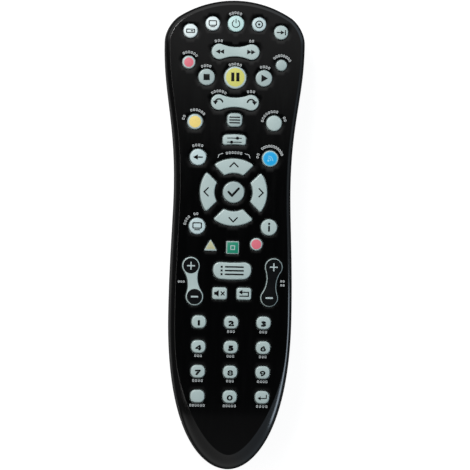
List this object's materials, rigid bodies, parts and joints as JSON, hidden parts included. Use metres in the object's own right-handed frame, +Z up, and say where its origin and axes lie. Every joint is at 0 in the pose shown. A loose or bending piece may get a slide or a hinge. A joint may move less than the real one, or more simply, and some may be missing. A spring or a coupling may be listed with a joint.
{
  "type": "universal remote control",
  "caption": "Hand-held infrared remote control with a waisted gloss body, a keypad of separate sprung keys, rocker keys and a sliding battery cover.",
  "frame": {"origin": "middle of the bounding box at the flat back that it rests on", "axes": "+X to the remote's right, +Y to its head end, +Z up out of the keypad"},
  "size_m": [0.0654, 0.22, 0.03],
  "materials": {
    "shell_gloss": "gloss black moulded upper shell",
    "shell_satin": "black lower shell with a fine spark-eroded grain",
    "window": "dark infrared-clear plastic",
    "silicone": "grey silicone",
    "board": "green solder mask",
    "emitter": "clear blue-tinted epoxy",
    "chip": "black moulded epoxy",
    "tin_can": "tinned steel can",
    "capacitor_sleeve": "dark blue shrink sleeve",
    "spring_steel": "nickel-plated spring wire",
    "plate_steel": "nickel-plated strip",
    "cell_sleeve": "printed cell sleeve, plain bands",
    "screw_steel": "black-zinc steel",
    "key_pale": "pale grey-green satin key plastic",
    "key_black": "black key plastic with a pale printed rim",
    "key_yellow": "yellow printed key top on pale plastic",
    "key_orange": "orange-yellow printed key top on pale plastic",
    "key_blue": "blue printed key top on pale plastic",
    "key_red": "pink-red printed key top on pale plastic",
    "key_green": "green printed key top on pale plastic",
    "key_cream": "cream printed key top on pale plastic"
  },
  "bodies": {
    "casing": {"top_case": "shell_gloss", "bottom_case": "shell_satin", "ir_window": "window", "keypad_sheet": "silicone", "circuit_board": "board", "ir_emitters": "emitter", "controller_chip": "chip", "resonator": "tin_can", "capacitor": "capacitor_sleeve", "spring_contacts": "spring_steel", "plate_contacts": "plate_steel", "cell_left": "cell_sleeve", "cell_right": "cell_sleeve", "case_screws": "screw_steel"},
    "battery_cover": {"battery_cover": "shell_satin"},
    "search_rocker": {"search_rocker": "key_pale"},
    "skip_rocker": {"skip_rocker": "key_pale"},
    "volume_rocker": {"volume_rocker": "key_pale"},
    "channel_rocker": {"channel_rocker": "key_black"},
    "power_key": {"power_key": "key_pale"},
    "device_key_1": {"device_key_1": "key_pale"},
    "device_key_2": {"device_key_2": "key_pale"},
    "device_key_3": {"device_key_3": "key_pale"},
    "device_key_4": {"device_key_4": "key_pale"},
    "record_key": {"record_key": "key_red"},
    "source_key": {"source_key": "key_pale"},
    "stop_key": {"stop_key": "key_pale"},
    "pause_key": {"pause_key": "key_yellow"},
    "play_key": {"play_key": "key_pale"},
    "menu_key": {"menu_key": "key_pale"},
    "demand_key": {"demand_key": "key_orange"},
    "library_key": {"library_key": "key_pale"},
    "setup_key": {"setup_key": "key_pale"},
    "back_key": {"back_key": "key_pale"},
    "blue_key": {"blue_key": "key_blue"},
    "arrow_up_key": {"arrow_up_key": "key_pale"},
    "arrow_left_key": {"arrow_left_key": "key_pale"},
    "arrow_right_key": {"arrow_right_key": "key_pale"},
    "arrow_down_key": {"arrow_down_key": "key_pale"},
    "ok_key": {"ok_key": "key_pale"},
    "exit_key": {"exit_key": "key_pale"},
    "info_key": {"info_key": "key_pale"},
    "triangle_key": {"triangle_key": "key_cream"},
    "square_key": {"square_key": "key_green"},
    "round_key": {"round_key": "key_red"},
    "guide_key": {"guide_key": "key_pale"},
    "mute_key": {"mute_key": "key_pale"},
    "last_key": {"last_key": "key_pale"},
    "digit_1_key": {"digit_1_key": "key_pale"},
    "digit_2_key": {"digit_2_key": "key_pale"},
    "digit_3_key": {"digit_3_key": "key_pale"},
    "digit_4_key": {"digit_4_key": "key_pale"},
    "digit_5_key": {"digit_5_key": "key_pale"},
    "digit_6_key": {"digit_6_key": "key_pale"},
    "digit_7_key": {"digit_7_key": "key_pale"},
    "digit_8_key": {"digit_8_key": "key_pale"},
    "digit_9_key": {"digit_9_key": "key_pale"},
    "clear_key": {"clear_key": "key_pale"},
    "digit_0_key": {"digit_0_key": "key_pale"},
    "enter_key": {"enter_key": "key_pale"}
  },
  "joints": [
    {"name": "cover_slide", "type": "slide", "parent": "casing", "child": "battery_cover", "axis": [0, -1, 0], "range_m": [0, 0.09]},
    {"name": "search_rocker_rock", "type": "hinge", "parent": "casing", "child": "search_rocker", "pos_m": [0, 0.08591, 0.02059], "axis": [0, 1, 0], "range_deg": [-4, 4], "stiffness_Nm_per_rad": 0.08},
    {"name": "skip_rocker_rock", "type": "hinge", "parent": "casing", "child": "skip_rocker", "pos_m": [0, 0.06215, 0.02306], "axis": [0, 1, 0], "range_deg": [-4, 4], "stiffness_Nm_per_rad": 0.08},
    {"name": "volume_rocker_rock", "type": "hinge", "parent": "casing", "child": "volume_rocker", "pos_m": [-0.01844, -0.022, 0.02726], "axis": [-0.9914, -0.1305, 0], "range_deg": [-4, 4], "stiffness_Nm_per_rad": 0.08},
    {"name": "channel_rocker_rock", "type": "hinge", "parent": "casing", "child": "channel_rocker", "pos_m": [0.01854, -0.022, 0.02726], "axis": [-0.9914, 0.1305, 0], "range_deg": [-4, 4], "stiffness_Nm_per_rad": 0.08},
    {"name": "power_key_press", "type": "slide", "parent": "casing", "child": "power_key", "axis": [0, 0, -1], "range_m": [0, 0.001], "stiffness_N_per_m": 700, "springref_m": -0.0003},
    {"name": "device_key_1_press", "type": "slide", "parent": "casing", "child": "device_key_1", "axis": [0, 0, -1], "range_m": [0, 0.001], "stiffness_N_per_m": 700, "springref_m": -0.0003},
    {"name": "device_key_2_press", "type": "slide", "parent": "casing", "child": "device_key_2", "axis": [0, 0, -1], "range_m": [0, 0.001], "stiffness_N_per_m": 700, "springref_m": -0.0003},
    {"name": "device_key_3_press", "type": "slide", "parent": "casing", "child": "device_key_3", "axis": [0, 0, -1], "range_m": [0, 0.001], "stiffness_N_per_m": 700, "springref_m": -0.0003},
    {"name": "device_key_4_press", "type": "slide", "parent": "casing", "child": "device_key_4", "axis": [0, 0, -1], "range_m": [0, 0.001], "stiffness_N_per_m": 700, "springref_m": -0.0003},
    {"name": "record_key_press", "type": "slide", "parent": "casing", "child": "record_key", "axis": [0, 0, -1], "range_m": [0, 0.001], "stiffness_N_per_m": 700, "springref_m": -0.0003},
    {"name": "source_key_press", "type": "slide", "parent": "casing", "child": "source_key", "axis": [0, 0, -1], "range_m": [0, 0.001], "stiffness_N_per_m": 700, "springref_m": -0.0003},
    {"name": "stop_key_press", "type": "slide", "parent": "casing", "child": "stop_key", "axis": [0, 0, -1], "range_m": [0, 0.001], "stiffness_N_per_m": 700, "springref_m": -0.0003},
    {"name": "pause_key_press", "type": "slide", "parent": "casing", "child": "pause_key", "axis": [0, 0, -1], "range_m": [0, 0.001], "stiffness_N_per_m": 700, "springref_m": -0.0003},
    {"name": "play_key_press", "type": "slide", "parent": "casing", "child": "play_key", "axis": [0, 0, -1], "range_m": [0, 0.001], "stiffness_N_per_m": 700, "springref_m": -0.0003},
    {"name": "menu_key_press", "type": "slide", "parent": "casing", "child": "menu_key", "axis": [0, 0, -1], "range_m": [0, 0.001], "stiffness_N_per_m": 700, "springref_m": -0.0003},
    {"name": "demand_key_press", "type": "slide", "parent": "casing", "child": "demand_key", "axis": [0, 0, -1], "range_m": [0, 0.001], "stiffness_N_per_m": 700, "springref_m": -0.0003},
    {"name": "library_key_press", "type": "slide", "parent": "casing", "child": "library_key", "axis": [0, 0, -1], "range_m": [0, 0.001], "stiffness_N_per_m": 700, "springref_m": -0.0003},
    {"name": "setup_key_press", "type": "slide", "parent": "casing", "child": "setup_key", "axis": [0, 0, -1], "range_m": [0, 0.001], "stiffness_N_per_m": 700, "springref_m": -0.0003},
    {"name": "back_key_press", "type": "slide", "parent": "casing", "child": "back_key", "axis": [0, 0, -1], "range_m": [0, 0.001], "stiffness_N_per_m": 700, "springref_m": -0.0003},
    {"name": "blue_key_press", "type": "slide", "parent": "casing", "child": "blue_key", "axis": [0, 0, -1], "range_m": [0, 0.001], "stiffness_N_per_m": 700, "springref_m": -0.0003},
    {"name": "arrow_up_key_press", "type": "slide", "parent": "casing", "child": "arrow_up_key", "axis": [0, 0, -1], "range_m": [0, 0.001], "stiffness_N_per_m": 700, "springref_m": -0.0003},
    {"name": "arrow_left_key_press", "type": "slide", "parent": "casing", "child": "arrow_left_key", "axis": [0, 0, -1], "range_m": [0, 0.001], "stiffness_N_per_m": 700, "springref_m": -0.0003},
    {"name": "arrow_right_key_press", "type": "slide", "parent": "casing", "child": "arrow_right_key", "axis": [0, 0, -1], "range_m": [0, 0.001], "stiffness_N_per_m": 700, "springref_m": -0.0003},
    {"name": "arrow_down_key_press", "type": "slide", "parent": "casing", "child": "arrow_down_key", "axis": [0, 0, -1], "range_m": [0, 0.001], "stiffness_N_per_m": 700, "springref_m": -0.0003},
    {"name": "ok_key_press", "type": "slide", "parent": "casing", "child": "ok_key", "axis": [0, 0, -1], "range_m": [0, 0.001], "stiffness_N_per_m": 700, "springref_m": -0.0003},
    {"name": "exit_key_press", "type": "slide", "parent": "casing", "child": "exit_key", "axis": [0, 0, -1], "range_m": [0, 0.001], "stiffness_N_per_m": 700, "springref_m": -0.0003},
    {"name": "info_key_press", "type": "slide", "parent": "casing", "child": "info_key", "axis": [0, 0, -1], "range_m": [0, 0.001], "stiffness_N_per_m": 700, "springref_m": -0.0003},
    {"name": "triangle_key_press", "type": "slide", "parent": "casing", "child": "triangle_key", "axis": [0, 0, -1], "range_m": [0, 0.001], "stiffness_N_per_m": 700, "springref_m": -0.0003},
    {"name": "square_key_press", "type": "slide", "parent": "casing", "child": "square_key", "axis": [0, 0, -1], "range_m": [0, 0.001], "stiffness_N_per_m": 700, "springref_m": -0.0003},
    {"name": "round_key_press", "type": "slide", "parent": "casing", "child": "round_key", "axis": [0, 0, -1], "range_m": [0, 0.001], "stiffness_N_per_m": 700, "springref_m": -0.0003},
    {"name": "guide_key_press", "type": "slide", "parent": "casing", "child": "guide_key", "axis": [0, 0, -1], "range_m": [0, 0.001], "stiffness_N_per_m": 700, "springref_m": -0.0003},
    {"name": "mute_key_press", "type": "slide", "parent": "casing", "child": "mute_key", "axis": [0, 0, -1], "range_m": [0, 0.001], "stiffness_N_per_m": 700, "springref_m": -0.0003},
    {"name": "last_key_press", "type": "slide", "parent": "casing", "child": "last_key", "axis": [0, 0, -1], "range_m": [0, 0.001], "stiffness_N_per_m": 700, "springref_m": -0.0003},
    {"name": "digit_1_key_press", "type": "slide", "parent": "casing", "child": "digit_1_key", "axis": [0, 0, -1], "range_m": [0, 0.001], "stiffness_N_per_m": 700, "springref_m": -0.0003},
    {"name": "digit_2_key_press", "type": "slide", "parent": "casing", "child": "digit_2_key", "axis": [0, 0, -1], "range_m": [0, 0.001], "stiffness_N_per_m": 700, "springref_m": -0.0003},
    {"name": "digit_3_key_press", "type": "slide", "parent": "casing", "child": "digit_3_key", "axis": [0, 0, -1], "range_m": [0, 0.001], "stiffness_N_per_m": 700, "springref_m": -0.0003},
    {"name": "digit_4_key_press", "type": "slide", "parent": "casing", "child": "digit_4_key", "axis": [0, 0, -1], "range_m": [0, 0.001], "stiffness_N_per_m": 700, "springref_m": -0.0003},
    {"name": "digit_5_key_press", "type": "slide", "parent": "casing", "child": "digit_5_key", "axis": [0, 0, -1], "range_m": [0, 0.001], "stiffness_N_per_m": 700, "springref_m": -0.0003},
    {"name": "digit_6_key_press", "type": "slide", "parent": "casing", "child": "digit_6_key", "axis": [0, 0, -1], "range_m": [0, 0.001], "stiffness_N_per_m": 700, "springref_m": -0.0003},
    {"name": "digit_7_key_press", "type": "slide", "parent": "casing", "child": "digit_7_key", "axis": [0, 0, -1], "range_m": [0, 0.001], "stiffness_N_per_m": 700, "springref_m": -0.0003},
    {"name": "digit_8_key_press", "type": "slide", "parent": "casing", "child": "digit_8_key", "axis": [0, 0, -1], "range_m": [0, 0.001], "stiffness_N_per_m": 700, "springref_m": -0.0003},
    {"name": "digit_9_key_press", "type": "slide", "parent": "casing", "child": "digit_9_key", "axis": [0, 0, -1], "range_m": [0, 0.001], "stiffness_N_per_m": 700, "springref_m": -0.0003},
    {"name": "clear_key_press", "type": "slide", "parent": "casing", "child": "clear_key", "axis": [0, 0, -1], "range_m": [0, 0.001], "stiffness_N_per_m": 700, "springref_m": -0.0003},
    {"name": "digit_0_key_press", "type": "slide", "parent": "casing", "child": "digit_0_key", "axis": [0, 0, -1], "range_m": [0, 0.001], "stiffness_N_per_m": 700, "springref_m": -0.0003},
    {"name": "enter_key_press", "type": "slide", "parent": "casing", "child": "enter_key", "axis": [0, 0, -1], "range_m": [0, 0.001], "stiffness_N_per_m": 700, "springref_m": -0.0003}
  ]
}
